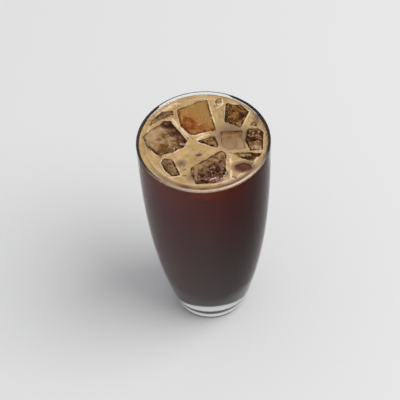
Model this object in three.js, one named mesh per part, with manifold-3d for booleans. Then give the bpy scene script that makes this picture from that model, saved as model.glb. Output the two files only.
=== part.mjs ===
// A tall clear glass, filled almost to the brim with black iced coffee. A thin tan layer
// of foam lies on the coffee, and twelve pieces of ice float in it with their tops at the surface.
// Units are millimetres, +Z is up, and the origin is the middle of the foot.

import * as THREE from 'three';
import { mergeVertices } from 'three/addons/utils/BufferGeometryUtils.js';
import Module from 'manifold-3d';

const wasm = await Module();
wasm.setup();

// The glass: its outside widens from the foot to a nearly upright brim. The hollow ends below in
// a round bowl over a thick clear base, which has a shallow dimple in the middle of its underside.
const GLASS_HEIGHT = 153;
const RIM_RADIUS = 40;
const FOOT_RADIUS = 23.7;
const SIDE_CURVE = 2.65;
const RIM_WALL = 1.8;
const LOW_WALL = 2.6;
const BASE_THICKNESS = 11;
const BOWL_HEIGHT = 25;
const FOOT_EDGE = 1;
const DIMPLE_RADIUS = 8;
const DIMPLE_DEPTH = 0.6;
const ROUND_SIDES = 64;

// The drink: its surface stands just under the brim.
const LEVEL = GLASS_HEIGHT - 2;
const FOAM_THICKNESS = 0.8;
const GAP = 0.3;

// The foam: raised a little at the wall, in a ring inside it, and round each piece of ice.
const FOAM_CLIMB = 0.4;
const FOAM_RING_RADIUS = 34.6;
const FOAM_RING_HEIGHT = 0.6;
const FOAM_RING_HALF_WIDTH = 1.2;
const ICE_COLLAR_WIDTH = 1.5;
const ICE_COLLAR_HEIGHT = 0.5;
const BARE_SPOT = { x: 22.6, y: -21, long: 4.6, short: 2.7, turn: -0.15 };

// The ice: rounded blocks, narrower below, with a slightly melted surface.
const ICE_CORNER = 1.1;
const ICE_CORNER_SHARE = 0.45;
const ICE_EDGE = 0.6;
const MELT_DEPTH = 0.25;
const MELT_LENGTH = 7;
const CUT_SIZE = 60;

// Each outline is the block's plan at the surface, clockwise from its left or back corner. Its
// proud height is that of the middle of its top over the surface, and slope is its rise towards
// +X and +Y. A facet is a sloping face cut off the top: the way it faces and a point on it, whose
// height is measured from the surface.
const ICE = [
  {
    name: 'ice_back',
    outline: [[-15.5, 26.3], [3.4, 34.4], [8.4, 8], [-7.2, 4.9], [-13.5, 12.2]],
    proud: 0.9, slope: [0.01, 0.02], depth: 23, narrowing: 0.84,
  },
  {
    name: 'ice_back_right',
    outline: [[14.5, 29.8], [24, 28.4], [28.7, 21.6], [22.4, 9.4], [12.8, 15]],
    proud: 0.8, slope: [-0.03, 0.05], depth: 15, narrowing: 0.8,
    facet: { faces: [0.4, -0.28, 1], through: [23.4, 15.6, 0.7] },
  },
  {
    name: 'ice_back_sliver',
    outline: [[7.9, 32.4], [12.4, 34.4], [12.8, 30], [9.3, 25.8]],
    proud: 1.5, slope: [0, -0.05], depth: 6, narrowing: 0.6,
  },
  {
    name: 'ice_right_back',
    outline: [[28.4, 10.6], [29.2, 13.2], [32, 14.8], [34.2, 10]],
    proud: 0.6, slope: [-0.04, 0], depth: 6, narrowing: 0.6,
  },
  {
    name: 'ice_right',
    outline: [[26.6, 8], [32.7, 8.3], [36.2, 4.7], [35.2, -9], [27.3, -9.7], [24.6, 0.2]],
    proud: 0.9, slope: [-0.04, 0.03], depth: 13, narrowing: 0.8,
    facet: { faces: [0.05, -0.3, 1], through: [31, -3, 0.9] },
  },
  {
    name: 'ice_middle_right',
    outline: [[10.3, 8.2], [24.6, 7.6], [22.9, 1.8], [25.3, -7.8], [14.4, -7.4], [10.6, -3.9]],
    proud: -0.25, slope: [0.01, -0.01], depth: 19, narrowing: 0.85,
  },
  {
    name: 'ice_wedge',
    outline: [[14.8, -9.7], [34.4, -11.6], [33.7, -13.4], [27.3, -17.3], [19.8, -13.8]],
    proud: 0.7, slope: [0.01, 0.09], depth: 7, narrowing: 0.55,
  },
  {
    name: 'ice_left',
    outline: [
      [-36, 6], [-25.1, 16.3], [-23.5, 18.5], [-19, 19.3], [-15.9, 13],
      [-9.2, 1], [-11.5, -3.6], [-25.3, -11], [-33.8, -1.6],
    ],
    proud: 1.1, slope: [-0.03, 0], depth: 21, narrowing: 0.82,
    facet: { faces: [0.36, 0.22, 1], through: [-18.4, 5.8, 1] },
  },
  {
    name: 'ice_left_back',
    outline: [[-33, 12.4], [-30.4, 19.6], [-24, 26.2], [-17, 27], [-17, 22.6], [-26.9, 18.2]],
    proud: 0.1, slope: [0, 0], depth: 9, narrowing: 0.8,
  },
  {
    name: 'ice_shard',
    outline: [[-26.4, -13.8], [-24.1, -11.8], [-18.2, -12.2], [-14, -26], [-19.6, -26], [-23.4, -22]],
    proud: 0.9, slope: [-0.06, 0.04], depth: 11, narrowing: 0.6,
    facet: { faces: [-0.5, -0.28, 1], through: [-20.5, -18.5, 1] },
  },
  {
    name: 'ice_front',
    outline: [
      [-8.6, -20.9], [6.7, -10.2], [10.7, -8], [13, -10.4],
      [12.6, -22], [13.9, -25.4], [8.8, -32.9], [-6.6, -32.7],
    ],
    proud: 1.2, slope: [0.01, 0.02], depth: 20, narrowing: 0.84,
    facet: { faces: [0.11, -0.18, 1], through: [0.8, -17.6, 1.2] },
  },
  {
    name: 'ice_middle',
    outline: [[-5.4, 0.2], [6.9, 5], [9.5, -3.6], [8, -5.6]],
    proud: 0.7, slope: [0.03, 0], depth: 8, narrowing: 0.6,
  },
];

// A geometry's bare triangles, with the vertices that they share merged.
function sharedVertices(geometry) {
  const bare = geometry.clone();
  bare.deleteAttribute('normal');
  bare.deleteAttribute('uv');
  return mergeVertices(bare, 1e-4);
}

// Turns a closed geometry into a solid that can be cut and joined.
function solidFrom(geometry) {
  const merged = sharedVertices(geometry);
  return new wasm.Manifold(new wasm.Mesh({
    numProp: 3,
    vertProperties: new Float32Array(merged.attributes.position.array),
    triVerts: new Uint32Array(merged.index.array),
  }));
}

// Turns a solid back into a geometry.
function geometryFrom(solid) {
  const mesh = solid.getMesh();
  const geometry = new THREE.BufferGeometry();
  geometry.setAttribute('position', new THREE.BufferAttribute(mesh.vertProperties, 3));
  geometry.setIndex(new THREE.BufferAttribute(mesh.triVerts, 1));
  geometry.computeVertexNormals();
  return geometry;
}

// Spins a profile of [radius, height] points about the Z axis.
function turned(profile) {
  const points = profile.map(([radius, height]) => new THREE.Vector2(radius, height));
  const geometry = new THREE.LatheGeometry(points, ROUND_SIDES);
  geometry.rotateX(Math.PI / 2);
  return geometry;
}

// The glass's outer radius at a height.
function outerRadius(height) {
  const left = 1 - height / GLASS_HEIGHT;
  return RIM_RADIUS - (RIM_RADIUS - FOOT_RADIUS) * left ** SIDE_CURVE;
}

// The glass's inner radius at a height: the wall thickens towards the base.
function innerRadius(height) {
  const wall = LOW_WALL + (RIM_WALL - LOW_WALL) * (height / GLASS_HEIGHT);
  return outerRadius(height) - wall;
}

// Heights from low to high that lie closer together towards the foot, where the side curves most.
function sideHeights(low, high, steps) {
  const heights = [];
  for (let step = 0; step <= steps; step += 1) {
    heights.push(low + (high - low) * (step / steps) ** 1.25);
  }
  return heights;
}

// The hollow's profile from its floor's middle, up the bowl and the wall to a height. A clearance
// moves it inwards all round.
function hollowProfile(top, clearance, steps) {
  const floor = BASE_THICKNESS + clearance;
  const bowlTop = BASE_THICKNESS + BOWL_HEIGHT;
  const bowlRadius = innerRadius(bowlTop) - clearance;
  const bowlSteps = 7;
  const profile = [];
  for (let step = 0; step < bowlSteps; step += 1) {
    const angle = (step / bowlSteps) * (Math.PI / 2);
    profile.push([bowlRadius * Math.sin(angle), bowlTop - (bowlTop - floor) * Math.cos(angle)]);
  }
  for (const height of sideHeights(bowlTop, top, steps)) {
    profile.push([innerRadius(height) - clearance, height]);
  }
  return profile;
}

function glassGeometry() {
  const rimBead = RIM_WALL / 2;
  const outer = sideHeights(FOOT_EDGE, GLASS_HEIGHT - rimBead, 11).map((height) => [
    outerRadius(height), height,
  ]);
  const rim = [45, 90, 135].map((degrees) => {
    const angle = THREE.MathUtils.degToRad(degrees);
    return [
      RIM_RADIUS - rimBead + rimBead * Math.cos(angle),
      GLASS_HEIGHT - rimBead + rimBead * Math.sin(angle),
    ];
  });
  const inner = hollowProfile(GLASS_HEIGHT - rimBead, 0, 8).reverse();
  const underside = [
    [0, DIMPLE_DEPTH],
    [DIMPLE_RADIUS / 2, DIMPLE_DEPTH * 0.75],
    [DIMPLE_RADIUS, 0],
    [FOOT_RADIUS - FOOT_EDGE * 0.8, 0],
  ];
  return turned([...underside, ...outer, ...rim, ...inner]);
}

// A block's outline as a shape with rounded corners.
function outlineShape(outline) {
  const corners = outline.map(([x, y]) => new THREE.Vector2(x, y)).reverse();
  const shape = new THREE.Shape();
  corners.forEach((corner, index) => {
    const before = corners[(index + corners.length - 1) % corners.length];
    const after = corners[(index + 1) % corners.length];
    const towardsBefore = before.clone().sub(corner);
    const towardsAfter = after.clone().sub(corner);
    const shorter = Math.min(towardsBefore.length(), towardsAfter.length());
    const half = towardsBefore.angleTo(towardsAfter) / 2;
    const reach = Math.min(ICE_CORNER / Math.tan(half), shorter * ICE_CORNER_SHARE);
    const start = corner.clone().addScaledVector(towardsBefore.normalize(), reach);
    const end = corner.clone().addScaledVector(towardsAfter.normalize(), reach);
    if (index === 0) {
      shape.moveTo(start.x, start.y);
    } else {
      shape.lineTo(start.x, start.y);
    }
    shape.quadraticCurveTo(corner.x, corner.y, end.x, end.y);
  });
  shape.closePath();
  return shape;
}

// How far melting has moved a point of the ice, as a smooth wave through space.
function meltShift(x, y, z) {
  const wave = (2 * Math.PI) / MELT_LENGTH;
  return new THREE.Vector3(
    MELT_DEPTH * Math.sin(wave * (y + 0.6 * z)),
    MELT_DEPTH * Math.sin(wave * (0.7 * z - x)),
    0,
  );
}

// A block of ice, made larger all round by a margin: 0 for the ice, a gap for the space it takes.
function iceSolid(piece, margin) {
  const middle = new THREE.Vector2();
  piece.outline.forEach(([x, y]) => middle.add(new THREE.Vector2(x, y)));
  middle.divideScalar(piece.outline.length);
  const geometry = sharedVertices(new THREE.ExtrudeGeometry(outlineShape(piece.outline), {
    depth: piece.depth - 2 * ICE_EDGE,
    steps: 2,
    curveSegments: 2,
    bevelEnabled: true,
    bevelThickness: ICE_EDGE + margin,
    bevelSize: ICE_EDGE + margin,
    bevelOffset: -ICE_EDGE,
    bevelSegments: 2,
  }));
  const top = LEVEL + piece.proud;
  geometry.translate(0, 0, top - piece.depth + ICE_EDGE);
  const place = geometry.attributes.position;
  for (let index = 0; index < place.count; index += 1) {
    const x = place.getX(index) - middle.x;
    const y = place.getY(index) - middle.y;
    const z = place.getZ(index);
    const down = (top - z) / piece.depth;
    const scale = 1 - (1 - piece.narrowing) * down;
    const rise = (piece.slope[0] * x + piece.slope[1] * y) * (1 - down);
    const shift = meltShift(x, y, z);
    place.setXYZ(
      index,
      middle.x + x * scale + shift.x,
      middle.y + y * scale + shift.y,
      z + rise,
    );
  }
  const block = solidFrom(geometry);
  return piece.facet ? block.subtract(facetCutter(piece.facet, margin)) : block;
}

// A large block whose underside lies on a facet's plane, and takes off all that is above it.
function facetCutter(facet, margin) {
  const out = new THREE.Vector3(...facet.faces).normalize();
  const [x, y, z] = facet.through;
  const cutter = new THREE.BoxGeometry(CUT_SIZE, CUT_SIZE, CUT_SIZE);
  const turn = new THREE.Quaternion().setFromUnitVectors(new THREE.Vector3(0, 0, 1), out);
  cutter.applyQuaternion(turn);
  const centre = new THREE.Vector3(x, y, LEVEL + z).addScaledVector(out, CUT_SIZE / 2 + margin);
  cutter.translate(centre.x, centre.y, centre.z);
  return solidFrom(cutter);
}

// An upright column over a block's outline, between two heights.
function columnSolid(outline, margin, low, high) {
  const geometry = new THREE.ExtrudeGeometry(outlineShape(outline), {
    depth: high - low - 0.02,
    curveSegments: 2,
    bevelEnabled: true,
    bevelThickness: 0.01,
    bevelSize: margin,
    bevelSegments: 1,
  });
  geometry.translate(0, 0, low + 0.01);
  return solidFrom(geometry);
}

const iceSpaces = ICE.map((piece) => iceSolid(piece, GAP));

function coffeeSolid() {
  const top = LEVEL - FOAM_THICKNESS - GAP;
  const body = solidFrom(turned([...hollowProfile(top, GAP, 7), [0, top]]));
  return iceSpaces.reduce((rest, space) => rest.subtract(space), body);
}

function foamSolid() {
  const low = LEVEL - FOAM_THICKNESS;
  const wallTop = LEVEL + FOAM_CLIMB;
  const outline = [
    [0, low],
    [innerRadius(low) - GAP, low],
    [innerRadius(wallTop) - GAP, wallTop],
  ];
  const room = solidFrom(turned([...outline, [0, wallTop]]));
  let foam = solidFrom(turned([
    ...outline,
    [FOAM_RING_RADIUS + FOAM_RING_HALF_WIDTH, LEVEL],
    [FOAM_RING_RADIUS, LEVEL + FOAM_RING_HEIGHT],
    [FOAM_RING_RADIUS - FOAM_RING_HALF_WIDTH, LEVEL],
    [0, LEVEL],
  ]));
  for (const piece of ICE) {
    const collarTop = LEVEL + ICE_COLLAR_HEIGHT;
    const collar = columnSolid(piece.outline, ICE_COLLAR_WIDTH, low + 0.2, collarTop);
    foam = foam.add(collar.intersect(room));
  }
  for (const piece of ICE) {
    foam = foam.subtract(columnSolid(piece.outline, GAP, low - 1, LEVEL + 4));
  }
  return foam.subtract(bareSpotSolid(low - 1, LEVEL + 4));
}

// The oval spot without foam.
function bareSpotSolid(low, high) {
  const shape = new THREE.Shape();
  shape.absellipse(
    BARE_SPOT.x, BARE_SPOT.y, BARE_SPOT.long, BARE_SPOT.short, 0, 2 * Math.PI, false, BARE_SPOT.turn,
  );
  const geometry = new THREE.ExtrudeGeometry(shape, {
    depth: high - low, curveSegments: 6, bevelEnabled: false,
  });
  geometry.translate(0, 0, low);
  return solidFrom(geometry);
}

function named(name, geometry, look) {
  const mesh = new THREE.Mesh(geometry, new THREE.MeshStandardMaterial({ metalness: 0, ...look }));
  mesh.name = name;
  return mesh;
}

const GLASS_LOOK = { color: 0xe6ebea, roughness: 0.03, transparent: true, opacity: 0.3 };
const COFFEE_LOOK = { color: 0x2a120d, roughness: 0.08 };
const FOAM_LOOK = { color: 0xc4a377, roughness: 0.55 };
const ICE_LOOK = { color: 0xd9c3a0, roughness: 0.12, transparent: true, opacity: 0.55 };

const icedCoffee = new THREE.Group();
icedCoffee.add(named('glass', glassGeometry(), GLASS_LOOK));
icedCoffee.add(named('coffee', geometryFrom(coffeeSolid()), COFFEE_LOOK));
icedCoffee.add(named('foam', geometryFrom(foamSolid()), FOAM_LOOK));
for (const piece of ICE) {
  icedCoffee.add(named(piece.name, geometryFrom(iceSolid(piece, 0)), ICE_LOOK));
}

export default icedCoffee;
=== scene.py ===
# Iced coffee in a tall clear glass: the finished pieces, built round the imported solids.

import random
from math import atan2, ceil, cos, pi, radians, sin

import bpy
import numpy as np
from mathutils import Matrix, Vector, noise
from mathutils.bvhtree import BVHTree
from mathutils.kdtree import KDTree


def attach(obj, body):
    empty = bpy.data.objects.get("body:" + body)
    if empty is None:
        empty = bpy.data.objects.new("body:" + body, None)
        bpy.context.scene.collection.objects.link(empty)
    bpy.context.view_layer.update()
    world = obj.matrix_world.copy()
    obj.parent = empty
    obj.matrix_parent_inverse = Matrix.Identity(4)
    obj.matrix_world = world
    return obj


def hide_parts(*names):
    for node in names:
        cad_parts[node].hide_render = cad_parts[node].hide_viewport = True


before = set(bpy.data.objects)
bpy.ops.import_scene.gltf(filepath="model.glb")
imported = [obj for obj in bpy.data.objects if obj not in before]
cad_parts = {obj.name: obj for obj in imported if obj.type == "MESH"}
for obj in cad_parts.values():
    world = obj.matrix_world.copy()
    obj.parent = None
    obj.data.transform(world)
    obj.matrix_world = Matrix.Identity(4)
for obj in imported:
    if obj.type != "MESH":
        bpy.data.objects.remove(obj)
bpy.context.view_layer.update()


# The tumbler
# A tall drinking glass of clear soda-lime glass, pressed and then spun in its mould, so that it
# is round and seamless. Its brim is melted round by flame, the side is nearly upright there and
# draws in to a small foot, and the hollow ends in a round bowl over a thick clear slug.
glass_height = 0.153
rim_radius = 0.040
foot_radius = 0.0237
side_curve = 2.65
rim_wall = 0.0018
low_wall = 0.0026
base_thickness = 0.011
bowl_height = 0.025
foot_edge = 0.001
foot_round_inset = 0.8 * foot_edge
side_start = 1.6 * foot_edge
dimple_radius = 0.008
dimple_depth = 0.0006
dimple_blend = 0.0004
closer_when_low = 1.25
bowl_steps = 28
hollow_steps = 40
outside_steps = 46
round_step = 15
turns_round = 160


def outer_radius(height):
    left = 1 - min(height, glass_height) / glass_height
    return rim_radius - (rim_radius - foot_radius) * left ** side_curve


def inner_radius(height):
    wall = low_wall + (rim_wall - low_wall) * height / glass_height
    return outer_radius(height) - wall


def side_heights(low, high, steps):
    return [low + (high - low) * (step / steps) ** closer_when_low for step in range(steps + 1)]


def hollow_profile(top, reach):
    """The glass's hollow from its floor's middle up to a height, let into the wall by a reach."""
    floor = base_thickness - reach
    bowl_top = base_thickness + bowl_height
    bowl_radius = inner_radius(bowl_top) + reach
    profile = []
    for step in range(bowl_steps):
        angle = step / bowl_steps * pi / 2
        profile.append((bowl_radius * sin(angle), bowl_top - (bowl_top - floor) * cos(angle)))
    profile += [(inner_radius(height) + reach, height)
                for height in side_heights(bowl_top, top, hollow_steps)]
    return profile


def deselect_all():
    if bpy.context.object and bpy.context.object.mode != "OBJECT":
        bpy.ops.object.mode_set(mode="OBJECT")
    bpy.ops.object.select_all(action="DESELECT")


def spun_profile(name, profile, steps):
    """Draws a profile of (radius, height) points vertex by vertex and spins it round the axis."""
    deselect_all()
    start_radius, start_height = profile[0]
    bpy.ops.mesh.primitive_plane_add(size=0.001, location=(start_radius, 0, start_height))
    piece = bpy.context.object
    piece.name = name
    bpy.ops.object.mode_set(mode="EDIT")
    bpy.ops.mesh.select_mode(type="VERT")
    bpy.ops.mesh.select_all(action="SELECT")
    bpy.ops.mesh.merge(type="CENTER")
    for (radius, height), (next_radius, next_height) in zip(profile, profile[1:]):
        move = (next_radius - radius, 0, next_height - height)
        bpy.ops.mesh.extrude_region_move(TRANSFORM_OT_translate={"value": move})
    bpy.ops.mesh.select_all(action="SELECT")
    bpy.ops.mesh.spin(steps=steps, angle=2 * pi, center=(0, 0, 0), axis=(0, 0, 1))
    bpy.ops.mesh.select_all(action="SELECT")
    bpy.ops.mesh.remove_doubles(threshold=2e-6)
    bpy.ops.mesh.normals_make_consistent(inside=False)
    bpy.ops.object.mode_set(mode="OBJECT")
    bpy.ops.object.transform_apply(location=True, rotation=True, scale=True)
    bpy.ops.object.shade_smooth()
    return piece


rim_bead = rim_wall / 2
brim = [
    (rim_radius - rim_bead + rim_bead * cos(radians(angle)),
     glass_height - rim_bead + rim_bead * sin(radians(angle)))
    for angle in range(round_step, 180, round_step)
]
foot_round = [
    (foot_radius - foot_round_inset + foot_edge * sin(radians(angle)),
     foot_edge * (1 - cos(radians(angle))))
    for angle in range(0, 90, round_step)
]
underside = [
    (dimple_radius * share, dimple_depth * (1 - share ** 2))
    for share in (0.0, 0.2, 0.4, 0.6, 0.8, 0.94)
] + [(dimple_radius + dimple_blend, 0.0)]
outside = [(outer_radius(height), height)
           for height in side_heights(side_start, glass_height - rim_bead, outside_steps)]
inside = hollow_profile(glass_height - rim_bead, 0.0)[::-1]
tumbler = spun_profile(
    "tumbler_glass", underside + foot_round + outside + brim + inside, turns_round)


def new_material(name):
    material = bpy.data.materials.new(name)
    material.use_nodes = True
    return material, material.node_tree, material.node_tree.nodes["Principled BSDF"]


def own_value(tree, name):
    attribute = tree.nodes.new("ShaderNodeAttribute")
    attribute.attribute_name = name
    return attribute.outputs["Fac"]


def set_own_value(piece, name, values):
    layer = piece.data.attributes.new(name, "FLOAT", "POINT")
    layer.data.foreach_set("value", np.ascontiguousarray(values, dtype=np.float32))


def spread(tree, value, low, high, start=0.0, end=1.0):
    """A value's range from low to high, stretched to run from start to end and held there."""
    node = tree.nodes.new("ShaderNodeMapRange")
    node.inputs["From Min"].default_value = low
    node.inputs["From Max"].default_value = high
    node.inputs["To Min"].default_value = start
    node.inputs["To Max"].default_value = end
    tree.links.new(value, node.inputs["Value"])
    return node.outputs["Result"]


def ramped(tree, value, *stops):
    """Colours that follow a value, from stops of (position, colour)."""
    node = tree.nodes.new("ShaderNodeValToRGB")
    elements = node.color_ramp.elements
    for element, (position, colour) in zip(elements, (stops[0], stops[-1])):
        element.position = position
        element.color = (*colour, 1)
    for position, colour in stops[1:-1]:
        elements.new(position).color = (*colour, 1)
    tree.links.new(value, node.inputs["Fac"])
    return node.outputs["Color"]


def held_share(value, low, high):
    """How far a value has come from low to high, held between 0 and 1."""
    return max(0.0, min(1.0, (value - low) / (high - low)))


# The brim and the foot are clean. The side is dulled by the cold damp film on it, which mirrors
# the room less and bends its light less. The film sets in by steps above the foot. At the left and
# right it ends by steps under the brim, and at the front and the very back it goes up to the level.
level = glass_height - 0.002
clear_bend = 1.5
clear_tint = (0.98, 0.985, 0.98)
damp_bends = (1.5, 1.42, 1.34, 1.26, 1.19, 1.12)
damp_mirror = 0.12
damp_low = 0.024
damp_low_step = 0.003
damp_high = 0.1455
damp_high_step = 0.0012
damp_highest = level + len(damp_bends) * damp_high_step
damp_front = -0.012
damp_back = (0.031, 0.035)
damp_back_turn = 0.12

# The edge that the glass stands on is tinted dark: painted shade, the dark contact line under the
# foot.
contact_shade_tint = (0.03, 0.03, 0.03)
contact_shade_mirror = 0.3
contact_shade_height = 0.0024
contact_shade_width = 2 * foot_edge


def damp_step(place):
    """How damp the side is at a place: step 0 bends light as clean glass does, the last least."""
    towards_back = held_share(place.y - damp_back_turn * place.x, *damp_back)
    up_to_brim = 1.0 if place.y < damp_front else towards_back
    top = damp_high + up_to_brim * (damp_highest - damp_high)
    steps_in = min((place.z - damp_low) / damp_low_step, (top - place.z) / damp_high_step)
    return max(0, min(len(damp_bends) - 1, ceil(steps_in)))


# The second kind is painted shade round the edge that the glass stands on.
dry_kinds = [
    ("clear_glass", clear_tint, clear_bend, 1.0),
    ("contact_shade_glass", contact_shade_tint, clear_bend, contact_shade_mirror),
]
damp_kinds = [(f"damp_glass_{step}", clear_tint, bend, damp_mirror)
              for step, bend in enumerate(damp_bends)]
for name, tint, bend, mirror in dry_kinds + damp_kinds:
    glass, tree, surface = new_material(name)
    surface.inputs["Base Color"].default_value = (*tint, 1)
    surface.inputs["Roughness"].default_value = 0.0
    surface.inputs["IOR"].default_value = bend
    surface.inputs["Transmission Weight"].default_value = 1.0
    surface.inputs["Specular Tint"].default_value = (mirror, mirror, mirror, 1)
    tumbler.data.materials.append(glass)
for polygon in tumbler.data.polygons:
    centre = polygon.center
    if base_thickness < centre.z < level:
        polygon.material_index = len(dry_kinds) + damp_step(centre)
    elif centre.z < contact_shade_height and centre.xy.length > foot_radius - contact_shade_width:
        polygon.material_index = tumbler.data.materials.find("contact_shade_glass")

# A painted highlight runs round the front of the brim, most at the front right: the clear glass
# turns cream and less clear there, standing in for light caught by the brim.
highlight_towards = radians(-52)
highlight_turn_left = radians(95)
highlight_turn_right = radians(36)
highlight_gain = 1.15
highlight_fade = 1.2
highlight_heights = (level + 0.0006, level + 0.0016)
highlight_depths = (0.0002, 0.0006)
brim_highlight = []
for vertex in tumbler.data.vertices:
    turn = atan2(vertex.co.y, vertex.co.x) - highlight_towards
    away = abs(turn) / (highlight_turn_right if turn > 0 else highlight_turn_left)
    strength = held_share(highlight_gain * (1 - away), 0, 1) ** highlight_fade
    on_brim = held_share(vertex.co.z, *highlight_heights)
    inwards = held_share(rim_radius - vertex.co.xy.length, *highlight_depths)
    brim_highlight.append(strength * on_brim * inwards)
set_own_value(tumbler, "painted_brim_highlight", brim_highlight)
# The painted highlight on the brim is mixed into the clear glass's colour and clearness.
tree = tumbler.data.materials["clear_glass"].node_tree
surface = tree.nodes["Principled BSDF"]
highlight_share = own_value(tree, "painted_brim_highlight")
highlight_colour = ramped(tree, highlight_share, (0.0, clear_tint), (0.55, (0.80, 0.56, 0.38)),
                     (1.0, (0.90, 0.70, 0.56)))
tree.links.new(highlight_colour, surface.inputs["Base Color"])
tree.links.new(spread(tree, highlight_share, 0.0, 1.0, 1.0, 0.3), surface.inputs["Transmission Weight"])
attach(tumbler, "root")
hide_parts("glass")


# The ice
# Twelve pieces of bar ice, broken and half melted, that float with their tops at the surface.
# They are clear ice with cracks, chipped faces and trapped air, and the coffee under and on
# them tints them from amber to a dark red brown.
ice_grain = 0.0005
ice_edge_width = 0.0008
flat_enough = 0.02
seam_reach = 0.0004
ray_height = glass_height + 0.01
slope_tilts = (0.5, 0.99)
slope_fade = 0.002
crease_share = 0.8
ring_mark_width = 0.16
ring_mark_strength = 0.35
ring_mark_turn = 0.25
ring_mark_colour = (0.150, 0.085, 0.050)
ice_edge_colour = (0.030, 0.010, 0.002)
chip_size = 0.006
chip_depth = 0.0009
melt_size = 0.004
melt_depth = 0.0006
slope_speck = 0.0042
air_dot = 0.0013
air_cluster = 0.006
edge_wear = 0.0035
ice_flaw_bump = 0.0008
ice_shift = 0.013

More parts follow.
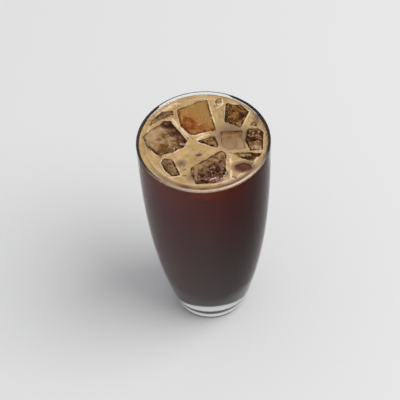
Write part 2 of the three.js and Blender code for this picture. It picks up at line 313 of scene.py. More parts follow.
# For each piece: the colours of its top where it is lit, between and dark, those of its sloping
# face where there is one, its bubbles' colour and how much of it has them, how clear it is and the
# size of its flaws in metres. Then the way it grows lighter, in degrees from +X towards +Y, how
# strongly and how softly, how dark its edge is, and how pale the foam is round it. Three have one
# thing more: how far the lighter way the slope's colours reach, a dark crease along the slope, or
# the middle and half size of a ring mark on top.
ice_looks = {
    "ice_back": {
        "lit": (0.29, 0.185, 0.062), "middle": (0.355, 0.17, 0.045), "dark": (0.19, 0.040, 0.006),
        "bubbles": (0.62, 0.27, 0.12), "bubbled": 0.75, "clear": 0.08, "flaw": 0.006,
        "lighter_towards": 52, "pull": 0.62, "soft": 0.24, "edged": 0.75, "foam_rim": 0.75,
    },
    "ice_back_right": {
        "lit": (0.25, 0.12, 0.035), "middle": (0.105, 0.036, 0.005), "dark": (0.028, 0.007, 0.001),
        "slope_lit": (0.46, 0.28, 0.15), "slope_dark": (0.22, 0.11, 0.035),
        "bubbles": (0.56, 0.38, 0.22), "bubbled": 0.7, "clear": 0.10, "flaw": 0.0034,
        "lighter_towards": -60, "pull": 0.10, "soft": 0.10, "edged": 1.0, "foam_rim": 1.0,
    },
    "ice_back_sliver": {
        "lit": (0.56, 0.42, 0.22), "middle": (0.46, 0.33, 0.16), "dark": (0.30, 0.20, 0.09),
        "bubbles": (0.60, 0.48, 0.30), "bubbled": 0.2, "clear": 0.2, "flaw": 0.003,
        "lighter_towards": 0, "pull": 0.0, "soft": 0.10, "edged": 0.3, "foam_rim": 1.0,
    },
    "ice_right_back": {
        "lit": (0.36, 0.19, 0.10), "middle": (0.15, 0.06, 0.025), "dark": (0.04, 0.012, 0.004),
        "bubbles": (0.50, 0.34, 0.24), "bubbled": 0.3, "clear": 0.10, "flaw": 0.0022,
        "lighter_towards": -45, "pull": 0.10, "soft": 0.08, "edged": 0.8, "foam_rim": 0.25,
    },
    "ice_right": {
        "lit": (0.36, 0.20, 0.105), "middle": (0.14, 0.058, 0.020), "dark": (0.022, 0.006, 0.001),
        "slope_lit": (0.48, 0.32, 0.19), "slope_dark": (0.16, 0.08, 0.03),
        "bubbles": (0.48, 0.30, 0.20), "bubbled": 0.4, "clear": 0.10, "flaw": 0.0030,
        "lighter_towards": -90, "pull": 0.06, "soft": 0.09, "edged": 1.0, "foam_rim": 0.35,
    },
    "ice_middle_right": {
        "lit": (0.34, 0.215, 0.120), "middle": (0.30, 0.175, 0.090), "dark": (0.17, 0.075, 0.025),
        "bubbles": (0.46, 0.33, 0.24), "bubbled": 0.0, "clear": 0.05, "flaw": 0.010,
        "lighter_towards": -80, "pull": 0.60, "soft": 0.22, "edged": 0.12, "foam_rim": 0.0,
        "ring_mark": ((0.0150, -0.0018), (0.0046, 0.0052)),
    },
    "ice_wedge": {
        "lit": (0.36, 0.23, 0.10), "middle": (0.19, 0.105, 0.035), "dark": (0.05, 0.018, 0.002),
        "bubbles": (0.50, 0.36, 0.22), "bubbled": 0.2, "clear": 0.10, "flaw": 0.0032,
        "lighter_towards": 150, "pull": 0.30, "soft": 0.11, "edged": 1.0, "foam_rim": 0.3,
    },
    "ice_left": {
        "lit": (0.42, 0.275, 0.145), "middle": (0.30, 0.18, 0.080), "dark": (0.13, 0.058, 0.015),
        "slope_lit": (0.27, 0.10, 0.045), "slope_dark": (0.024, 0.004, 0.001),
        "bubbles": (0.48, 0.33, 0.20), "bubbled": 0.25, "clear": 0.08, "flaw": 0.0050,
        "lighter_towards": 125, "pull": 0.26, "soft": 0.13, "edged": 0.8, "foam_rim": 0.6,
        "creased": True,
    },
    "ice_left_back": {
        "lit": (0.31, 0.19, 0.10), "middle": (0.25, 0.145, 0.075), "dark": (0.10, 0.045, 0.016),
        "bubbles": (0.42, 0.30, 0.22), "bubbled": 0.0, "clear": 0.05, "flaw": 0.0055,
        "lighter_towards": 200, "pull": 0.15, "soft": 0.12, "edged": 0.25, "foam_rim": 0.05,
    },
    "ice_shard": {
        "lit": (0.30, 0.185, 0.090), "middle": (0.22, 0.130, 0.055), "dark": (0.060, 0.026, 0.006),
        "slope_lit": (0.33, 0.205, 0.10), "slope_dark": (0.13, 0.068, 0.025),
        "bubbles": (0.36, 0.25, 0.16), "bubbled": 0.2, "clear": 0.08, "flaw": 0.003,
        "lighter_towards": 60, "pull": 0.10, "soft": 0.11, "edged": 1.0, "foam_rim": 0.8,
    },
    "ice_front": {
        "lit": (0.34, 0.21, 0.095), "middle": (0.24, 0.135, 0.055), "dark": (0.10, 0.045, 0.014),
        "slope_lit": (0.31, 0.175, 0.105), "slope_dark": (0.035, 0.008, 0.001),
        "bubbles": (0.48, 0.32, 0.22), "bubbled": 0.45, "clear": 0.10, "flaw": 0.0032,
        "lighter_towards": 120, "pull": 0.10, "soft": 0.11, "edged": 1.0, "foam_rim": 0.45,
        "slope_until": 0.0035,
    },
    "ice_middle": {
        "lit": (0.34, 0.19, 0.09), "middle": (0.20, 0.095, 0.030), "dark": (0.060, 0.022, 0.003),
        "bubbles": (0.46, 0.30, 0.24), "bubbled": 0.2, "clear": 0.08, "flaw": 0.0028,
        "lighter_towards": -60, "pull": 0.15, "soft": 0.11, "edged": 1.0, "foam_rim": 0.8,
    },
}


def object_pattern(tree, kind, scale, shift=(0, 0, 0), stretch=(1, 1, 1), **values):
    """A procedural texture on the piece's own Object coordinates, in metres."""
    coordinates = tree.nodes.new("ShaderNodeTexCoord")
    mapping = tree.nodes.new("ShaderNodeMapping")
    mapping.inputs["Scale"].default_value = stretch
    mapping.inputs["Location"].default_value = shift
    texture = tree.nodes.new(kind)
    texture.inputs["Scale"].default_value = scale
    for socket, value in values.items():
        texture.inputs[socket].default_value = value
    tree.links.new(coordinates.outputs["Object"], mapping.inputs["Vector"])
    tree.links.new(mapping.outputs["Vector"], texture.inputs["Vector"])
    return texture


def joined(tree, operation, first, second):
    """Two values joined by a sum: each is a node's output or a plain number."""
    node = tree.nodes.new("ShaderNodeMath")
    node.operation = operation
    for socket, value in zip(node.inputs, (first, second)):
        if isinstance(value, (int, float)):
            socket.default_value = value
        else:
            tree.links.new(value, socket)
    return node.outputs["Value"]


def mixed(tree, factor, under, over, blend="MIX"):
    """Two colours mixed by a factor: each is a node's output or a plain value."""
    node = tree.nodes.new("ShaderNodeMix")
    node.data_type = "RGBA"
    node.blend_type = blend
    if isinstance(factor, float):
        node.inputs["Factor"].default_value = factor
    else:
        tree.links.new(factor, node.inputs["Factor"])
    for name, colour in (("A", under), ("B", over)):
        if isinstance(colour, tuple):
            node.inputs[name].default_value = (*colour, 1)
        else:
            tree.links.new(colour, node.inputs[name])
    return node.outputs["Result"]


def bumped(tree, surface, height, strength, distance):
    bump = tree.nodes.new("ShaderNodeBump")
    bump.inputs["Strength"].default_value = strength
    bump.inputs["Distance"].default_value = distance
    tree.links.new(height, bump.inputs["Height"])
    tree.links.new(bump.outputs["Normal"], surface.inputs["Normal"])


def ice_material(name, look, shift):
    material, tree, surface = new_material(name)
    flaws = object_pattern(tree, "ShaderNodeTexNoise", 1 / look["flaw"], shift, Detail=3.0,
                           Roughness=0.62, Distortion=0.8)
    shade = joined(tree, "ADD", flaws.outputs["Fac"], own_value(tree, "shade"))
    colour = ramped(tree, shade, (0.5 - look["soft"], look["dark"]), (0.5, look["middle"]),
                    (0.5 + look["soft"], look["lit"]))
    if "slope_lit" in look:
        specks = object_pattern(tree, "ShaderNodeTexNoise", 1 / slope_speck, shift, Detail=5.0,
                                Roughness=0.72)
        slope_colour = ramped(tree, specks.outputs["Fac"], (0.46, look["slope_dark"]),
                              (0.64, look["slope_lit"]))
        colour = mixed(tree, own_value(tree, "slope"), colour, slope_colour)
    if "ring_mark" in look:
        colour = mixed(tree, own_value(tree, "ring_mark"), colour, ring_mark_colour)
    cells = object_pattern(tree, "ShaderNodeTexVoronoi", 1 / air_dot, shift)
    dots = spread(tree, cells.outputs["Distance"], 0.34, 0.16)
    cluster = object_pattern(tree, "ShaderNodeTexNoise", 1 / air_cluster, shift, Detail=1.0)
    in_cluster = spread(tree, cluster.outputs["Fac"], 0.66 - 0.3 * look["bubbled"],
                        0.76 - 0.3 * look["bubbled"])
    air_share = joined(tree, "MULTIPLY", dots, in_cluster)
    colour = mixed(tree, joined(tree, "MULTIPLY", air_share, 0.8), colour, look["bubbles"])
    wear = object_pattern(tree, "ShaderNodeTexNoise", 1 / edge_wear, shift, Detail=2.0)
    edge_line = spread(tree, own_value(tree, "edge_distance"), ice_edge_width * 2.2, ice_edge_width)
    edge_line = joined(tree, "MULTIPLY", edge_line, spread(tree, wear.outputs["Fac"], 0.38, 0.50))
    edge_line = joined(tree, "MULTIPLY", edge_line, look["edged"])
    colour = mixed(tree, edge_line, colour, ice_edge_colour)
    tree.links.new(colour, surface.inputs["Base Color"])
    surface.inputs["Roughness"].default_value = 0.08
    surface.inputs["IOR"].default_value = 1.31
    surface.inputs["Specular Tint"].default_value = (0.3, 0.3, 0.3, 1)
    surface.inputs["Transmission Weight"].default_value = look["clear"]
    bumped(tree, surface, flaws.outputs["Fac"], 0.5, ice_flaw_bump)
    return material


def merged_copy(node, name):
    """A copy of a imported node, with its loose triangles joined, as a mesh of its own."""
    deselect_all()
    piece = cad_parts[node].copy()
    piece.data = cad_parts[node].data.copy()
    piece.name = name
    piece.data.materials.clear()
    bpy.context.collection.objects.link(piece)
    piece.hide_viewport = piece.hide_render = False
    piece.hide_set(False)
    bpy.context.view_layer.objects.active = piece
    piece.select_set(True)
    bpy.ops.object.mode_set(mode="EDIT")
    bpy.ops.mesh.select_all(action="SELECT")
    bpy.ops.mesh.remove_doubles(threshold=1e-6)
    bpy.ops.object.mode_set(mode="OBJECT")
    return piece


def apply_modifier(piece, kind, **values):
    modifier = piece.modifiers.new(kind.title(), kind)
    for key, value in values.items():
        setattr(modifier, key, value)
    bpy.context.view_layer.objects.active = piece
    bpy.ops.object.modifier_apply(modifier=modifier.name)


def surface_tree(piece):
    vertices = [vertex.co.copy() for vertex in piece.data.vertices]
    polygons = [tuple(polygon.vertices) for polygon in piece.data.polygons]
    return BVHTree.FromPolygons(vertices, polygons)


def met_from_above(shape_tree, x, y):
    """Where a line straight down first meets a shape, and the shape's normal there."""
    return shape_tree.ray_cast(Vector((x, y, ray_height)), Vector((0, 0, -1)))[:2]


def plan_outline(piece):
    """The edges round a block's upward faces from above: two (x, y) points and whether it's a seam.

    A seam has upward faces on both sides, with only a thin steep strip between them.
    """
    block_tree = surface_tree(piece)

    def is_over(place):
        normal = met_from_above(block_tree, *place)[1]
        return normal is not None and normal.z > flat_enough

    counts = {}
    for polygon in piece.data.polygons:
        if polygon.normal.z > flat_enough:
            for key in polygon.edge_keys:
                counts[key] = counts.get(key, 0) + 1
    vertices = piece.data.vertices
    outline = []
    for (first, second), count in counts.items():
        if count == 1:
            start = vertices[first].co.xy
            end = vertices[second].co.xy
            beside = (end - start).orthogonal().normalized() * seam_reach
            middle = (start + end) / 2
            is_seam = is_over(middle + beside) and is_over(middle - beside)
            outline.append((tuple(start), tuple(end), is_seam))
    return outline


def outline_distance(places, outline):
    """How far each (x, y) place lies outside a closed outline, and below 0 inside it."""
    nearest = np.full(len(places), 1.0)
    within = np.zeros(len(places), bool)
    at_seam = np.zeros(len(places), bool)
    for start, end, is_seam in outline:
        along = np.subtract(end, start)
        offset = places - start
        share = np.clip(offset @ along / (along @ along), 0, 1)
        gap = np.linalg.norm(offset - share[:, None] * along, axis=1)
        if is_seam:
            at_seam |= gap < seam_reach
        else:
            nearest = np.minimum(nearest, gap)
        if start[1] != end[1]:
            between = (start[1] > places[:, 1]) != (end[1] > places[:, 1])
            crossing = start[0] + offset[:, 1] / along[1] * along[0]
            within ^= between & (places[:, 0] < crossing)
    return np.where(within | at_seam, -nearest, nearest)


def vertex_places(piece):
    places = np.empty(len(piece.data.vertices) * 3)
    piece.data.vertices.foreach_get("co", places)
    return places.reshape(-1, 3)


def crease_distance(places, is_slope):
    """How far each place lies from the nearest one on the slope, and 1 on the slope itself."""
    slope_tree = KDTree(len(places))
    for number in np.nonzero(is_slope)[0]:
        slope_tree.insert(places[number], int(number))
    slope_tree.balance()
    gaps = np.full(len(places), 1.0)
    for number in np.nonzero(is_slope == 0)[0]:
        gaps[number] = slope_tree.find(places[number])[2]
    return gaps


def ring_mark_share(places, middle, half):
    """How strongly the ring mark shows at each place: it is darker on the right."""
    outwards = (places[:, :2] - middle) / half
    line = 1 - np.abs(np.linalg.norm(outwards, axis=1) - 1) / ring_mark_width
    return np.clip(line, 0, 1) * (ring_mark_strength + ring_mark_turn * outwards[:, 0])


chips = bpy.data.textures.new("ice_chips", "VORONOI")
chips.noise_scale = chip_size
chips.distance_metric = "DISTANCE"
melt = bpy.data.textures.new("ice_melt", "CLOUDS")
melt.noise_scale = melt_size

ice_pieces = []
ice_outlines = []
for index, (node, look) in enumerate(ice_looks.items()):
    piece = merged_copy(node, node + "_block")
    outline = plan_outline(piece)
    plain_tree = surface_tree(piece)
    plain_normals = [polygon.normal.copy() for polygon in piece.data.polygons]
    apply_modifier(piece, "REMESH", mode="VOXEL", voxel_size=ice_grain)
    places = vertex_places(piece)
    inset = -outline_distance(places[:, :2], outline)
    tilts = np.array([plain_normals[plain_tree.find_nearest(place)[2]].z for place in places])
    middle = places[:, :2].mean(axis=0)
    lighter_towards = radians(look["lighter_towards"])
    along = (places[:, :2] - middle) @ np.array((cos(lighter_towards), sin(lighter_towards)))
    is_slope = (tilts > slope_tilts[0]) & (tilts < slope_tilts[1]) & (inset > ice_edge_width)
    is_slope = is_slope * np.clip((look.get("slope_until", 1.0) - along) / slope_fade, 0, 1)
    if "creased" in look:
        inset = np.minimum(inset, crease_share * crease_distance(places, is_slope))
    if "ring_mark" in look:
        set_own_value(piece, "ring_mark", ring_mark_share(places, *look["ring_mark"]))
    set_own_value(piece, "edge_distance", inset)
    set_own_value(piece, "slope", is_slope)
    set_own_value(piece, "shade", look["pull"] * 0.5 * along / np.abs(along).max())
    apply_modifier(piece, "DISPLACE", texture=chips, texture_coords="GLOBAL",
                   strength=chip_depth, mid_level=0.55)
    apply_modifier(piece, "DISPLACE", texture=melt, texture_coords="GLOBAL",
                   strength=melt_depth, mid_level=0.5)
    bpy.ops.object.shade_smooth()
    piece.data.materials.append(ice_material(node + "_look", look, (ice_shift * index, 0, 0)))
    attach(piece, "root")
    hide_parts(node)
    ice_pieces.append(piece)
    ice_outlines.append(outline)


# The coffee
# Black iced coffee, a clear but very dark red-brown liquid that stands to just under the brim.
# It wets the glass all the way down and each piece of ice all round, and it is painted a
# little lighter and greyer towards the left, as painted light.
wall_reach = 0.0002
ice_clearance = 0.00025
coffee_top = level - 0.0009
coffee = spun_profile(
    "black_coffee", hollow_profile(coffee_top, wall_reach) + [(0.0, coffee_top)], turns_round)
for node in ice_looks:
    cutter = merged_copy(node, node + "_cutter")
    apply_modifier(cutter, "DISPLACE", strength=-ice_clearance, mid_level=0.0)
    apply_modifier(coffee, "BOOLEAN", operation="DIFFERENCE", solver="MANIFOLD", object=cutter)
    bpy.data.objects.remove(cutter, do_unlink=True)
bpy.context.view_layer.objects.active = coffee
coffee.select_set(True)
bpy.ops.object.shade_smooth_by_angle(angle=radians(40))

# Its colour follows the height, with soft clouds in the upper half. Over the coffee's own dark
# red brown, the height ramp holds a painted glow, redder towards the top where light gets in, and
# a painted grey reflection of the floor lower down. It is lighter and greyer at the left as
# painted light, darker at the right as painted shade, and nearly black just under the brim at the
# sides and back, a painted shade that the brim's dark rings mirror. The top is lighter, as it
# shows through the foam's bare spot.
cloud_size = 0.016
left_light_reach = (0.010, -0.036)
shaded_reach = (0.001, 0.027)
brim_dark_heights = (0.1445, 0.1475)
brim_dark_reach = (-0.024, -0.010)
dark_coffee, tree, surface = new_material("dark_coffee")
coordinates = tree.nodes.new("ShaderNodeTexCoord")
separate = tree.nodes.new("ShaderNodeSeparateXYZ")
tree.links.new(coordinates.outputs["Object"], separate.inputs["Vector"])
across, back, upwards = separate.outputs
height_share = spread(tree, upwards, base_thickness, level)
# The ramp is partly painted light: a painted glow near the top, a painted grey reflection lower
# down.
colour = ramped(
    tree, height_share, (0.0, (0.050, 0.045, 0.045)), (0.28, (0.072, 0.060, 0.060)),
    (0.59, (0.066, 0.044, 0.043)), (0.765, (0.085, 0.036, 0.034)), (0.92, (0.130, 0.042, 0.036)),
    (0.985, (0.190, 0.036, 0.016)))
clouds = object_pattern(tree, "ShaderNodeTexNoise", 1 / cloud_size, stretch=(1, 1, 0.6),
                        Detail=2.0)
cloud_dim = ramped(tree, clouds.outputs["Fac"], (0.35, (0.72, 0.66, 0.66)), (0.62, (1.1, 1.0, 1.0)))
upper_share = spread(tree, height_share, 0.55, 0.9)
clouded = mixed(tree, upper_share, colour, cloud_dim, "MULTIPLY")
colour = mixed(tree, upper_share, colour, clouded)
# Painted light: the coffee is lighter and greyer towards the left.
painted_left_light_share = spread(tree, across, *left_light_reach, 0.0, 0.6)
colour = mixed(tree, painted_left_light_share, colour, (0.16, 0.085, 0.085))
# Painted shade: the coffee is darker towards the right.
shaded_share = spread(tree, across, *shaded_reach, 0.0, 0.85)
colour = mixed(tree, shaded_share, colour, (0.018, 0.002, 0.0015))
# Painted shade: nearly black just under the brim at the sides and back.
brim_share = joined(tree, "MULTIPLY", spread(tree, upwards, *brim_dark_heights),
                    spread(tree, back, *brim_dark_reach))
colour = mixed(tree, brim_share, colour, (0.012, 0.004, 0.003))
top_share = spread(tree, height_share, 0.990, 0.993)
colour = mixed(tree, top_share, colour, (0.115, 0.045, 0.028))
tree.links.new(colour, surface.inputs["Base Color"])
surface.inputs["Roughness"].default_value = 0.35
surface.inputs["IOR"].default_value = 1.33
surface.inputs["Specular IOR Level"].default_value = 0.0
coffee.data.materials.clear()
coffee.data.materials.append(dark_coffee)
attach(coffee, "root")
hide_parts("coffee")


# The foam
# The thin tan foam of freshly poured coffee: a layer of fine bubbles under 1 mm thick that clings
# to the glass. It climbs a little on each piece of ice, where it is paler, partly its own paler
# colour and partly a painted highlight, and it thins to a dark film in a few places.
foam_thickness = 0.0008
foam_cell = 0.0003
foam_radius = inner_radius(level) + wall_reach
foam_climb = 0.0004
foam_climb_width = 0.0016
foam_over_ice = 0.0002
foam_on_ice = 0.0002
foam_in_ice = 0.0003
ice_nearness = 0.0012
collar_height = 0.0007
collar_width = 0.0009
thin_dip = 0.0005
fine_bubble = 0.0007

# The long ridges: their points, height and half width. The ring inside the wall is a circle.
ring_radius = 0.0345
ring_middle = (0.0, 0.0007)
ring_height = 0.0007
ring_half_width = 0.0010
foam_ridges = [
    ([(-0.0278, 0.0225), (-0.0234, 0.0270), (-0.0191, 0.0304), (-0.0150, 0.0320)], 0.0007, 0.0014),
    ([(0.0149, -0.0109), (0.0151, -0.0155), (0.0150, -0.0232), (0.0148, -0.0301)], 0.0004, 0.0014),
    ([(0.0084, 0.0068), (0.0030, 0.0058), (-0.0018, 0.0040), (-0.0043, 0.0016)], 0.0005, 0.0010),
    ([(-0.0180, 0.0196), (-0.0153, 0.0146), (-0.0110, 0.0078), (-0.0084, 0.0035)], 0.0005, 0.0011),
]

# Between the ring and the wall the foam dips in a moat, and is thin there towards the front. Right
# at the front wall it is pale, partly its own paler colour and partly a painted highlight.
moat_middle = 0.0026
moat_half = 0.0012
moat_thinness = 1.1
front_pale_width = 0.0009

# Where else the foam is thin: the middle of each place, its half length and width, and how far the
# dark coffee shows through. The bare spot has no foam at all.
bare_spot = (0.0226, -0.0210)
bare_spot_half = (0.0046, 0.0027)
thin_places = [
    ((0.0226, -0.0210), (0.0080, 0.0052), 1.7),
    ((-0.0034, -0.0097), (0.0027, 0.0016), 1.5),
    ((-0.0030, -0.0095), (0.0045, 0.0026), 0.45),
    ((0.0153, -0.0097), (0.0010, 0.0008), 0.9),
    ((0.0148, -0.0132), (0.0008, 0.0007), 0.8),
    ((0.0044, 0.0062), (0.0009, 0.0007), 0.9),
    ((0.0303, 0.0205), (0.0009, 0.0008), 0.7),
    # The next place, at the right of the ice shard, is a painted shadow on the foam.
    ((-0.0138, -0.0158), (0.0044, 0.0040), 0.85),
    ((-0.0120, -0.0252), (0.0022, 0.0011), 0.9),
    ((-0.0089, -0.0270), (0.0040, 0.0056), 0.60),
    ((0.0325, 0.0160), (0.0034, 0.0090), 0.75),
    ((-0.0123, 0.0332), (0.0060, 0.0024), 0.35),
    ((0.0165, 0.0040), (0.0150, 0.0135), 0.95),
    ((-0.0300, -0.0160), (0.0060, 0.0100), 0.18),
    ((-0.0215, -0.0085), (0.0070, 0.0030), 0.22),
    ((0.0105, 0.0200), (0.0020, 0.0060), 0.40),
]


def wander(places, size, seed):
    return np.array([noise.noise(Vector((x / size, y / size, seed))) for x, y in places])


def oval_distance(places, middle, half):
    """0 in the middle of an oval place and 1 on its edge."""
    return np.linalg.norm((places - middle) / half, axis=1)


def path_distance(places, points):
    nearest = np.full(len(places), 1.0)
    for start, end in zip(points, points[1:]):
        along = np.subtract(end, start)
        share = np.clip((places - start) @ along / (along @ along), 0, 1)
        gap = np.linalg.norm(places - start - share[:, None] * along, axis=1)
        nearest = np.minimum(nearest, gap)
    return nearest


def ice_distance(places):
    return np.min([outline_distance(places, outline) for outline in ice_outlines], axis=0)


def foam_inset(places):
    """How far each place lies inside the foam's edge, which laps over the ice a little."""
    from_ice = ice_distance(places) + foam_over_ice
    from_ice += 0.0003 * wander(places, 0.0025, 3.1) + 0.00015 * wander(places, 0.0009, 7.7)
    bare = (oval_distance(places, bare_spot, bare_spot_half) - 1) * bare_spot_half[1]
    return np.minimum(from_ice, bare + 0.0009 * wander(places, 0.003, 5.2))


deselect_all()
cells = int(2 * foam_radius / foam_cell) + 4
bpy.ops.mesh.primitive_grid_add(x_subdivisions=cells, y_subdivisions=cells,
                                size=cells * foam_cell, location=(0, 0, level))
foam = bpy.context.object
foam.name = "coffee_foam"
bpy.ops.object.transform_apply(location=True, rotation=True, scale=True)
places = vertex_places(foam)[:, :2]

# The foam's edge is drawn true: the grid's vertices next to it are moved onto it.
inset = foam_inset(places)
nudge = 1e-5
uphill = np.stack([
    foam_inset(places + (nudge, 0)) - inset, foam_inset(places + (0, nudge)) - inset], axis=1)
uphill /= np.maximum(np.linalg.norm(uphill, axis=1), 1e-9)[:, None]
at_edge = np.abs(inset) < 0.5 * foam_cell
places[at_edge] -= uphill[at_edge] * inset[at_edge, None]
radius = np.linalg.norm(places, axis=1)
at_wall = np.abs(radius - foam_radius) < 0.5 * foam_cell
places[at_wall] *= (foam_radius / radius[at_wall])[:, None]
outside_foam = (inset < -0.5 * foam_cell) | (radius > foam_radius + 0.5 * foam_cell)

from_ice = ice_distance(places)
from_wall = foam_radius - np.linalg.norm(places, axis=1)
from_ring = np.abs(np.linalg.norm(places - ring_middle, axis=1) - ring_radius)
collar = np.zeros(len(places))
for look, outline in zip(ice_looks.values(), ice_outlines):
    beside = np.abs(outline_distance(places, outline) - foam_over_ice)
    share = np.clip(1 - beside / collar_width, 0, 1)
    collar = np.maximum(collar, look["foam_rim"] * share)
ring = np.clip(1 - from_ring / ring_half_width, 0, 1) * (0.75 + wander(places, 0.012, 1.0))
ridges = np.zeros(len(places))
ridge_rise = np.zeros(len(places))
for points, height, half_width in foam_ridges:
    share = np.clip(1 - path_distance(places, points) / half_width, 0, 1)
    ridges = np.maximum(ridges, share)
    ridge_rise = np.maximum(ridge_rise, height * share ** 1.3)
towards_front = np.clip(-places[:, 1] / foam_radius * 1.25 - 0.25, 0, 1)
in_moat = np.clip(1.5 - np.abs(from_wall - moat_middle) / moat_half, 0, 1)
thinness = moat_thinness * towards_front * in_moat * (0.85 + 0.5 * wander(places, 0.008, 9.0))
for middle, half, strength in thin_places:
    share = np.clip(1.15 - oval_distance(places, middle, half), 0, 1)
    thinness = np.maximum(thinness, strength * share)
rise = ring_height * ring ** 1.5 + ridge_rise
rise += foam_climb * np.clip(1 - from_wall / foam_climb_width, 0, 1) ** 2
rise += collar_height * collar ** 1.2 * (0.8 + 0.8 * wander(places, 0.006, 2.0))
rise += 0.00015 * wander(places, 0.0045, 4.0) + 0.0001 * wander(places, 0.0014, 6.0)
rise -= thin_dip * thinness
heights = level + rise
under = np.full(len(places), level - foam_thickness)
ice_trees = [surface_tree(piece) for piece in ice_pieces]
for index in np.nonzero((from_ice < ice_nearness) & ~outside_foam)[0]:
    for ice_tree in ice_trees:
        hit = met_from_above(ice_tree, *places[index])[0]
        if hit and hit.z > level - foam_thickness:
            heights[index] = max(heights[index], hit.z + foam_on_ice)
            under[index] = max(under[index], hit.z - foam_in_ice)
foam.data.vertices.foreach_set("co", np.column_stack([places, heights]).ravel())

# Pale collars, ridges, ring and front edge: partly the foam's own colour, partly painted highlight.
pale = np.maximum(collar * (0.75 + 0.5 * wander(places, 0.005, 8.0)), 0.8 * ridges)
pale = np.maximum(pale, 0.55 * ring)
front_pale = np.clip(1.8 - from_wall / front_pale_width, 0, 1)
pale = np.maximum(pale, 0.8 * towards_front * front_pale)
set_own_value(foam, "paleness", np.clip(pale, 0, 1))
set_own_value(foam, "thinness", np.clip(thinness, 0, 1))
set_own_value(foam, "under_height", under)
set_own_value(foam, "wall_side", np.zeros(len(places)))
bpy.ops.object.mode_set(mode="EDIT")
bpy.ops.mesh.select_mode(type="VERT")
bpy.ops.mesh.select_all(action="DESELECT")
bpy.ops.object.mode_set(mode="OBJECT")
foam.data.vertices.foreach_set("select", outside_foam)
bpy.ops.object.mode_set(mode="EDIT")
bpy.ops.mesh.delete(type="VERT")
bpy.ops.mesh.select_all(action="SELECT")
bpy.ops.mesh.delete_loose()
bpy.ops.mesh.select_all(action="SELECT")
bpy.ops.mesh.extrude_region_move(TRANSFORM_OT_translate={"value": (0, 0, -foam_thickness)})
bpy.ops.object.mode_set(mode="OBJECT")
under_layer = foam.data.attributes["under_height"]
side_layer = foam.data.attributes["wall_side"]
for vertex in foam.data.vertices:
    if vertex.select:
        vertex.co.z = under_layer.data[vertex.index].value
        side_layer.data[vertex.index].value = 1.0
bpy.ops.object.mode_set(mode="EDIT")
bpy.ops.mesh.select_all(action="SELECT")
bpy.ops.mesh.normals_make_consistent(inside=False)
bpy.ops.object.mode_set(mode="OBJECT")
bpy.ops.object.shade_smooth_by_angle(angle=radians(60))

tan_foam, tree, surface = new_material("tan_foam")
patches = object_pattern(tree, "ShaderNodeTexNoise", 1 / 0.009, Detail=4.0, Roughness=0.6)
colour = ramped(tree, patches.outputs["Fac"], (0.36, (0.39, 0.25, 0.094)),
                (0.50, (0.478, 0.308, 0.126)), (0.64, (0.555, 0.362, 0.165)))
# The paleness is partly the foam's own colour, partly a painted highlight.
pale_share = spread(tree, own_value(tree, "paleness"), 0.15, 0.85)
colour = mixed(tree, pale_share, colour, (0.86, 0.68, 0.47))
streaks = object_pattern(tree, "ShaderNodeTexNoise", 1 / 0.0022, Detail=3.0)
streak_dim = ramped(tree, streaks.outputs["Fac"], (0.32, (0.80, 0.76, 0.70)), (0.55, (1, 1, 1)))
colour = mixed(tree, 1.0, colour, streak_dim, "MULTIPLY")
thin_colour = ramped(tree, own_value(tree, "thinness"), (0.0, (0.52, 0.36, 0.165)),
                     (0.35, (0.35, 0.235, 0.105)), (0.65, (0.24, 0.14, 0.07)),
                     (1.0, (0.10, 0.045, 0.025)))
colour = mixed(tree, spread(tree, own_value(tree, "thinness"), 0.02, 0.35), colour, thin_colour)
colour = mixed(tree, own_value(tree, "wall_side"), colour, (0.10, 0.035, 0.015))
tree.links.new(colour, surface.inputs["Base Color"])
fine_bubbles = object_pattern(tree, "ShaderNodeTexVoronoi", 1 / fine_bubble)
bumped(tree, surface, fine_bubbles.outputs["Distance"], 0.3, 0.0002)
surface.inputs["Roughness"].default_value = 0.32
surface.inputs["Subsurface Weight"].default_value = 0.15
surface.inputs["Subsurface Radius"].default_value = (0.0010, 0.0007, 0.0004)
foam.data.materials.append(tan_foam)
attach(foam, "root")
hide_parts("foam")


# The froth
# Clusters of larger bubbles where melting ice lets its air out, each a thin shell of coffee
# that stands half out of the foam or sits against a block.
froth_sides = 12
froth_rings = 6
froth_sink = 0.25
froth_spread = 0.6
froth_smallest = 0.4

# For each cluster: its middle, its half length and width, its number of bubbles and the radius
# of the largest.
froth_clusters = [
    ((0.0095, -0.0292), (0.0040, 0.0022), 26, 0.0009),
    ((0.0122, -0.0255), (0.0016, 0.0026), 14, 0.0008),
    ((0.0050, -0.0275), (0.0050, 0.0030), 26, 0.0006),
    ((-0.0110, -0.0012), (0.0022, 0.0016), 14, 0.0008),
    ((-0.0086, 0.0036), (0.0012, 0.0014), 7, 0.0008),
    ((-0.0160, -0.0040), (0.0022, 0.0010), 8, 0.0006),
    ((-0.0334, 0.0005), (0.0010, 0.0010), 5, 0.0007),
    ((-0.0124, -0.0205), (0.0014, 0.0020), 9, 0.0007),
    ((0.0148, -0.0116), (0.0010, 0.0030), 9, 0.0005),
    ((0.0110, 0.0235), (0.0022, 0.0060), 12, 0.0005),
    ((0.0290, 0.0100), (0.0020, 0.0020), 10, 0.0005),
    ((0.0330, -0.0090), (0.0020, 0.0040), 10, 0.0005),
    ((-0.0270, 0.0260), (0.0080, 0.0050), 16, 0.0004),
    ((-0.0250, -0.0215), (0.0080, 0.0060), 14, 0.0004),
]
froth_draw = random.Random(11)
surface_trees = [surface_tree(foam)] + ice_trees


def surface_height(x, y):
    """The height of the coffee, foam or ice at a place, whichever is highest."""
    tops = [coffee_top]
    for shown_tree in surface_trees:
        hit = met_from_above(shown_tree, x, y)[0]
        if hit:
            tops.append(hit.z)
    return max(tops)


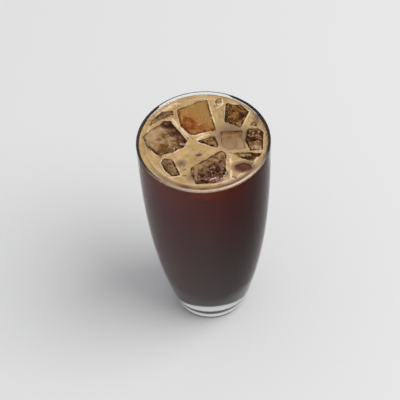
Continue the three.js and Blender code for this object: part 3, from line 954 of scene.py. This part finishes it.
deselect_all()
bubbles = []
for middle, half, count, largest in froth_clusters:
    for number in range(count):
        x = froth_draw.gauss(middle[0], half[0] * froth_spread)
        y = froth_draw.gauss(middle[1], half[1] * froth_spread)
        size = largest * froth_draw.uniform(froth_smallest, 1.0)
        if Vector((x, y)).length > foam_radius - size:
            continue
        height = surface_height(x, y) - froth_sink * size
        bpy.ops.mesh.primitive_uv_sphere_add(
            segments=froth_sides, ring_count=froth_rings, radius=size, location=(x, y, height))
        bubbles.append(bpy.context.object)
for bubble in bubbles:
    bubble.select_set(True)
bpy.ops.object.join()
froth = bpy.context.object
froth.name = "froth_bubbles"
bpy.ops.object.transform_apply(location=True, rotation=True, scale=True)
bpy.ops.object.shade_smooth()

bubble_shell, tree, surface = new_material("bubble_shell")
shell_tint = object_pattern(tree, "ShaderNodeTexNoise", 1 / 0.0018, Detail=1.0)
shell_colour = ramped(tree, shell_tint.outputs["Fac"], (0.38, (0.34, 0.20, 0.12)),
                      (0.62, (0.86, 0.68, 0.54)))
tree.links.new(shell_colour, surface.inputs["Base Color"])
surface.inputs["Roughness"].default_value = 0.12
surface.inputs["IOR"].default_value = 1.33
surface.inputs["Transmission Weight"].default_value = 0.35
froth.data.materials.append(bubble_shell)
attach(froth, "root")


# The floor, the light and the camera
# A plain pale surface under a large soft light from the right, with the rest of the room as
# even grey light. The camera looks down steeply from the front through a long lens. A thin film of
# air is left under the foot, so that its underside mirrors as it does on a real table.
air_under_foot = 0.00015
deselect_all()
bpy.ops.mesh.primitive_plane_add(size=6, location=(0, 0, -air_under_foot))
floor = bpy.context.object
floor.name = "pale_floor"
pale_floor, tree, surface = new_material("pale_floor")
surface.inputs["Base Color"].default_value = (0.70, 0.70, 0.70, 1)
surface.inputs["Roughness"].default_value = 0.7
surface.inputs["Specular IOR Level"].default_value = 0.2
floor.data.materials.append(pale_floor)

world = bpy.data.worlds.new("soft_room")
world.use_nodes = True
world.node_tree.nodes["Background"].inputs["Color"].default_value = (0.97, 0.98, 1.0, 1)
world.node_tree.nodes["Background"].inputs["Strength"].default_value = 0.62
bpy.context.scene.world = world

# The light isn't mirrored by the glass: it only lights what it falls on.
light_place = Vector((1.75, -0.38, 2.55))
light_aim = Vector((0, 0, 0.05))
light_data = bpy.data.lights.new("key_light", "AREA")
light_data.shape = "DISK"
light_data.size = 2.7
light_data.energy = 74
light_data.color = (1.0, 0.99, 0.975)
light_data.cycles.use_multiple_importance_sampling = False
light = bpy.data.objects.new("key_light", light_data)
bpy.context.collection.objects.link(light)
light.location = light_place
light.rotation_euler = (light_aim - light_place).to_track_quat("-Z", "Y").to_euler()

# The camera's place was worked out from the ellipses of the brim and the foot in the photo,
# whose frame is 400 pixels square.
frame_pixels = 400
sensor_width = 36
focal_pixels = 1300
camera_rise = 51.65
camera_roll = -3.13
camera_distance = 0.8288
aim_pixel = (207.67, 219.77)
camera_data = bpy.data.cameras.new("photo_camera")
camera_data.sensor_width = sensor_width
camera_data.lens = focal_pixels / frame_pixels * sensor_width
camera_data.shift_x = (frame_pixels / 2 - aim_pixel[0]) / frame_pixels
camera_data.shift_y = (aim_pixel[1] - frame_pixels / 2) / frame_pixels
camera_data.clip_start = 0.05
camera = bpy.data.objects.new("photo_camera", camera_data)
bpy.context.collection.objects.link(camera)
camera_aim = Vector((0, 0, glass_height / 2))
towards_camera = Vector((0, -cos(radians(camera_rise)), sin(radians(camera_rise))))
camera.matrix_world = (
    Matrix.Translation(camera_aim + towards_camera * camera_distance)
    @ towards_camera.to_track_quat("Z", "Y").to_matrix().to_4x4()
    @ Matrix.Rotation(radians(camera_roll), 4, "Z")
)
bpy.context.scene.camera = camera
bpy.context.scene.view_settings.view_transform = "Standard"

# The noise is taken out by colour alone, since what the glass shows of its own surface would
# leave streaks on the coffee behind it.
bpy.context.scene.cycles.use_denoising = True
bpy.context.scene.cycles.denoising_input_passes = "RGB"
